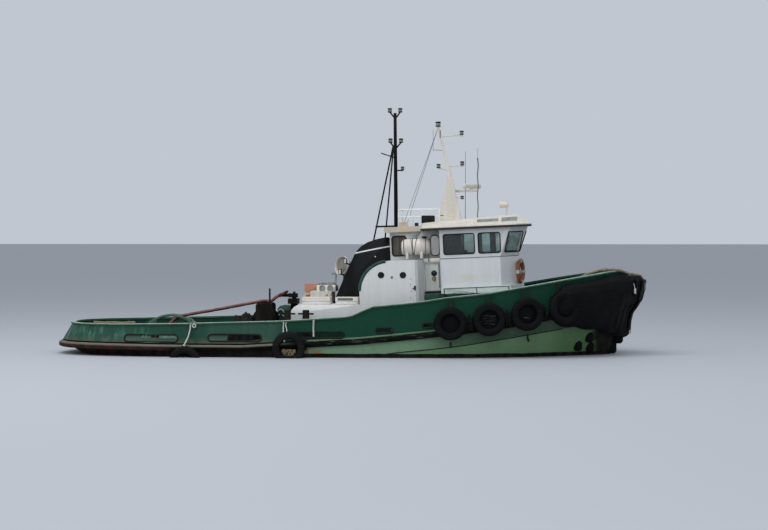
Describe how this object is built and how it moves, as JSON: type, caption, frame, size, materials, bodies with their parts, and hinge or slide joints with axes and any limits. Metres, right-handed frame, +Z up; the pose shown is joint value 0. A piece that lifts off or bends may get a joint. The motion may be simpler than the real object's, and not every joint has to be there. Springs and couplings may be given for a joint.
{
  "type": "harbour tug",
  "caption": "Small harbour tug afloat, with a towing deck aft, a deckhouse and wheelhouse forward of a raked funnel, two masts, a rubber bow fender and tyre fenders.",
  "frame": {"origin": "on the centreline at the waterline, about amidships", "axes": "+X to the bow, +Y to port, +Z up"},
  "size_m": [20.4, 7.0212, 10.69],
  "materials": {
    "hull_paint": "dark green deck and topside paint, streaked and faded",
    "bottom_paint": "matt brown-red bottom paint",
    "engine_paint": "satin green-grey paint",
    "bronze": "dull bronze",
    "rusty_steel": "worn black paint over rust",
    "rail_paint": "pale worn green paint",
    "fender_rubber": "dull black rubber, scuffed",
    "tyre_rubber": "dull black tyre rubber",
    "house_paint": "satin off-white paint with rust runs",
    "cream_paint": "satin cream paint",
    "black_paint": "satin black paint",
    "window_glass": "lightly tinted glass",
    "seat_vinyl": "black vinyl",
    "raft_shell": "weathered white glass-fibre shell",
    "ring_plastic": "faded orange plastic"
  },
  "bodies": {
    "boat": {"hull": "hull_paint", "keel": "bottom_paint", "engine": "engine_paint", "rubbing_strake": "rusty_steel", "bulwark_stern": "hull_paint", "bulwark_aft_port": "hull_paint", "bulwark_aft_stbd": "hull_paint", "bulwark_fore_port": "hull_paint", "bulwark_fore_stbd": "hull_paint", "bulwark_bow": "hull_paint", "cap_rail": "rail_paint", "bow_fender": "fender_rubber", "tyres_forward_port": "tyre_rubber", "tyres_forward_stbd": "tyre_rubber", "tyre_mid_port": "tyre_rubber", "tyre_mid_stbd": "tyre_rubber", "tyre_aft_port": "tyre_rubber", "tyre_aft_stbd": "tyre_rubber", "engine_casing": "house_paint", "deckhouse": "house_paint", "passage_house": "house_paint", "forward_trunk": "hull_paint", "wheelhouse_walls": "house_paint", "wheelhouse_windows": "house_paint", "wheelhouse_glass": "window_glass", "wheelhouse_roof": "cream_paint", "helm_console": "black_paint", "helm_seat": "seat_vinyl", "upper_house": "house_paint", "funnel": "black_paint", "aft_mast": "black_paint", "fore_mast": "cream_paint", "top_railing": "house_paint", "life_raft_port": "raft_shell", "life_raft_stbd": "raft_shell", "life_ring_port": "ring_plastic", "life_ring_stbd": "ring_plastic", "vent_cabinet": "house_paint", "cowl_vent": "cream_paint", "gear_crate": "ring_plastic", "tow_post": "black_paint", "winch_frame": "black_paint", "companion": "hull_paint", "guard_hoops": "hull_paint", "bitts_port": "black_paint", "bitts_stbd": "black_paint", "bow_bitt": "black_paint"},
    "rudder": {"rudder": "bottom_paint"},
    "propeller": {"propeller": "bronze"},
    "radar": {"radar": "cream_paint"},
    "searchlight": {"searchlight": "cream_paint"},
    "tow_hook": {"tow_hook": "black_paint"},
    "winch_drum": {"winch_drum": "black_paint"},
    "skylight_lid": {"skylight_lid": "cream_paint"},
    "manhole_lid": {"manhole_lid": "cream_paint"},
    "side_hatch_port": {"side_hatch_port": "house_paint"},
    "side_hatch_stbd": {"side_hatch_stbd": "house_paint"}
  },
  "joints": [
    {"name": "rudder_turn", "type": "hinge", "parent": "boat", "child": "rudder", "pos_m": [-8.35, 0, -1.2], "axis": [0, 0, 1], "range_deg": [-35, 35]},
    {"name": "propeller_spin", "type": "hinge", "parent": "boat", "child": "propeller", "pos_m": [-7.62, 0, -1.23], "axis": [1, 0, 0], "continuous": true},
    {"name": "radar_spin", "type": "hinge", "parent": "boat", "child": "radar", "pos_m": [3.95, 0, 5.665], "axis": [0, 0, 1], "continuous": true},
    {"name": "searchlight_swivel", "type": "hinge", "parent": "boat", "child": "searchlight", "pos_m": [5.16, -0.35, 4.98], "axis": [0, 0, 1], "range_deg": [-170, 170]},
    {"name": "tow_hook_swing", "type": "hinge", "parent": "boat", "child": "tow_hook", "pos_m": [-2.23, 0, 1.99], "axis": [0, 0, 1], "range_deg": [-75, 75]},
    {"name": "winch_drum_turn", "type": "hinge", "parent": "boat", "child": "winch_drum", "pos_m": [-3.23, 0, 1.16], "axis": [0, 1, 0], "continuous": true},
    {"name": "skylight_hinge", "type": "hinge", "parent": "boat", "child": "skylight_lid", "pos_m": [-0.215, -1.21, 1.92], "axis": [-1, 0, 0], "range_deg": [0, 75]},
    {"name": "manhole_hinge", "type": "hinge", "parent": "boat", "child": "manhole_lid", "pos_m": [-1.18, -1.26, 1.92], "axis": [-1, 0, 0], "range_deg": [0, 80]},
    {"name": "side_hatch_port_hinge", "type": "hinge", "parent": "boat", "child": "side_hatch_port", "pos_m": [2.4466, 1.74, 2.6541], "axis": [-0.0436, 0, 0.999], "range_deg": [0, 90]},
    {"name": "side_hatch_stbd_hinge", "type": "hinge", "parent": "boat", "child": "side_hatch_stbd", "pos_m": [2.4466, -1.74, 2.6541], "axis": [0.0436, 0, -0.999], "range_deg": [0, 90]}
  ]
}
